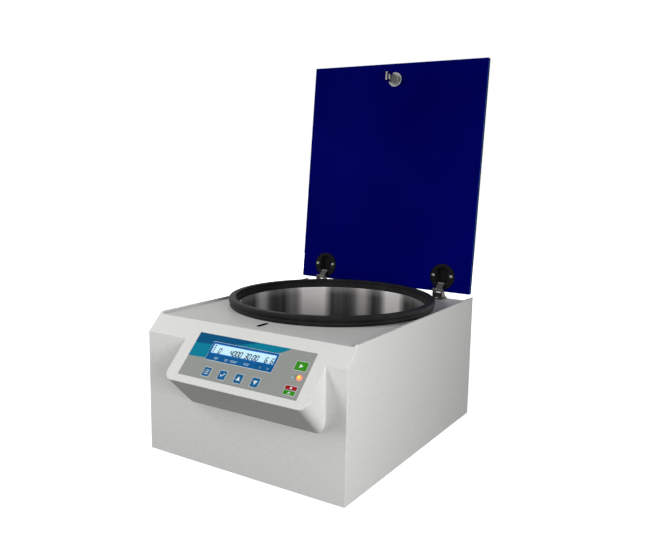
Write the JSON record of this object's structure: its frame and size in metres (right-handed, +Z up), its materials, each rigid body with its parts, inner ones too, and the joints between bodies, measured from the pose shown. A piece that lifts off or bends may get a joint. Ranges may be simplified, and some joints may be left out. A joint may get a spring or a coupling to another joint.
{
  "type": "bench centrifuge",
  "caption": "Low bench-top laboratory centrifuge with an open upright lid, a black ring gasket round the bowl, a swing-out rotor and a sloping control console.",
  "frame": {"origin": "on the bench, in the middle of the outline that the machine fills with its lid open", "axes": "+Z up, -Y towards the front with the console, +X to the right as seen from the front"},
  "size_m": [0.33, 0.4746, 0.5934],
  "materials": {
    "casing_paint": "satin",
    "zinc_plate": "satin",
    "plated_steel": "polished",
    "hinge_steel": "satin",
    "chrome": "polished",
    "bowl_steel": "brushed",
    "black_rubber": "matte",
    "lid_blue": "gloss",
    "black_plastic": "matte",
    "motor_aluminium": "cast",
    "motor_iron": "satin",
    "rotor_aluminium": "satin",
    "solenoid_case": "satin",
    "overlay_grey": "matte",
    "display_blue": "gloss",
    "display_glow": "gloss",
    "key_blue": "satin",
    "key_green": "satin",
    "key_red": "satin",
    "lamp_amber": "gloss",
    "board_green": "satin",
    "brass": "polished"
  },
  "bodies": {
    "casing": {"outer_casing": "casing_paint", "top_panel": "casing_paint", "rear_panel": "casing_paint", "base_tray": "zinc_plate", "motor_plate": "zinc_plate", "latch_channel": "zinc_plate", "case_screws": "plated_steel", "mount_bolts": "plated_steel", "spindle_bearings": "plated_steel", "left_hinge_bracket": "plated_steel", "right_hinge_bracket": "plated_steel", "bracket_screws": "plated_steel", "latch_spring": "plated_steel", "bowl": "bowl_steel", "rim_gasket": "black_rubber", "chamber_seal": "black_rubber", "rubber_feet": "black_rubber", "motor_mounts": "black_rubber", "power_inlet": "black_plastic", "power_switch": "black_plastic", "display_module": "black_plastic", "motor_housing": "motor_aluminium", "stator": "motor_iron", "latch_solenoid": "solenoid_case", "control_overlay": "overlay_grey", "display_frame": "display_blue", "display_window": "display_glow", "indicator_lamps": "lamp_amber", "control_board": "board_green", "drive_board": "board_green", "board_standoffs": "brass"},
    "rotor": {"spindle": "plated_steel", "motor_armature": "motor_iron", "rotor_yoke": "rotor_aluminium", "trunnion_pins": "plated_steel", "rotor_nut": "plated_steel"},
    "bucket_1": {"bucket_1": "rotor_aluminium"},
    "bucket_2": {"bucket_2": "rotor_aluminium"},
    "bucket_3": {"bucket_3": "rotor_aluminium"},
    "bucket_4": {"bucket_4": "rotor_aluminium"},
    "hinge_arms": {"left_hinge_arm": "hinge_steel", "right_hinge_arm": "hinge_steel", "hinge_pins": "hinge_steel"},
    "lid": {"lid_panel": "lid_blue", "left_hinge_cup": "black_plastic", "right_hinge_cup": "black_plastic", "hinge_caps": "black_plastic", "cup_screws": "plated_steel", "striker_boss": "chrome", "striker_tongue": "plated_steel", "striker_nut": "plated_steel"},
    "latch_bolt": {"latch_bolt": "plated_steel"},
    "rocker": {"power_rocker": "black_plastic"},
    "mode_key": {"mode_key": "key_blue"},
    "set_key": {"set_key": "key_blue"},
    "up_key": {"up_key": "key_blue"},
    "down_key": {"down_key": "key_blue"},
    "start_key": {"start_key": "key_green"},
    "stop_key": {"stop_key": "key_red"},
    "open_key": {"open_key": "key_green"}
  },
  "joints": [
    {"name": "lid_turn", "type": "hinge", "parent": "hinge_arms", "child": "lid", "pos_m": [0, 0.1946, 0.22726], "axis": [1, 0, 0], "range_deg": [0, 128.01]},
    {"name": "arm_swing", "type": "hinge", "parent": "casing", "child": "hinge_arms", "pos_m": [0, 0.18099, 0.2185], "axis": [-1, 0, 0], "range_deg": [0, 32.42]},
    {"name": "rotor_spin", "type": "hinge", "parent": "casing", "child": "rotor", "pos_m": [0, 0.03399, 0.15], "axis": [0, 0, 1], "continuous": true},
    {"name": "bucket_1_swing", "type": "hinge", "parent": "rotor", "child": "bucket_1", "pos_m": [0.062, 0.03399, 0.15], "axis": [0, -1, 0], "range_deg": [-15, 90]},
    {"name": "bucket_2_swing", "type": "hinge", "parent": "rotor", "child": "bucket_2", "pos_m": [0, 0.09599, 0.15], "axis": [1, 0, 0], "range_deg": [-15, 90]},
    {"name": "bucket_3_swing", "type": "hinge", "parent": "rotor", "child": "bucket_3", "pos_m": [-0.062, 0.03399, 0.15], "axis": [0, 1, 0], "range_deg": [-15, 90]},
    {"name": "bucket_4_swing", "type": "hinge", "parent": "rotor", "child": "bucket_4", "pos_m": [0, -0.028, 0.15], "axis": [-1, 0, 0], "range_deg": [-15, 90]},
    {"name": "latch_slide", "type": "slide", "parent": "casing", "child": "latch_bolt", "axis": [1, 0, 0], "range_m": [0, 0.01], "stiffness_N_per_m": 300, "springref_m": -0.002, "deforming": ["latch_spring"]},
    {"name": "mode_press", "type": "slide", "parent": "casing", "child": "mode_key", "axis": [0, 0.7127, -0.7014], "range_m": [0, 0.0004], "stiffness_N_per_m": 1500, "springref_m": -0.0001},
    {"name": "set_press", "type": "slide", "parent": "casing", "child": "set_key", "axis": [0, 0.7127, -0.7014], "range_m": [0, 0.0004], "stiffness_N_per_m": 1500, "springref_m": -0.0001},
    {"name": "up_press", "type": "slide", "parent": "casing", "child": "up_key", "axis": [0, 0.7127, -0.7014], "range_m": [0, 0.0004], "stiffness_N_per_m": 1500, "springref_m": -0.0001},
    {"name": "down_press", "type": "slide", "parent": "casing", "child": "down_key", "axis": [0, 0.7127, -0.7014], "range_m": [0, 0.0004], "stiffness_N_per_m": 1500, "springref_m": -0.0001},
    {"name": "start_press", "type": "slide", "parent": "casing", "child": "start_key", "axis": [0, 0.7127, -0.7014], "range_m": [0, 0.0004], "stiffness_N_per_m": 1500, "springref_m": -0.0001},
    {"name": "stop_press", "type": "slide", "parent": "casing", "child": "stop_key", "axis": [0, 0.7127, -0.7014], "range_m": [0, 0.0004], "stiffness_N_per_m": 1500, "springref_m": -0.0001},
    {"name": "open_press", "type": "slide", "parent": "casing", "child": "open_key", "axis": [0, 0.7127, -0.7014], "range_m": [0, 0.0004], "stiffness_N_per_m": 1500, "springref_m": -0.0001},
    {"name": "rocker_tilt", "type": "hinge", "parent": "casing", "child": "rocker", "pos_m": [-0.05, 0.194, 0.068], "axis": [1, 0, 0], "range_deg": [0, 16]}
  ],
  "couplings": [
    {"joint": "arm_swing", "follows": "lid_turn", "ratio": 0.25318}
  ]
}
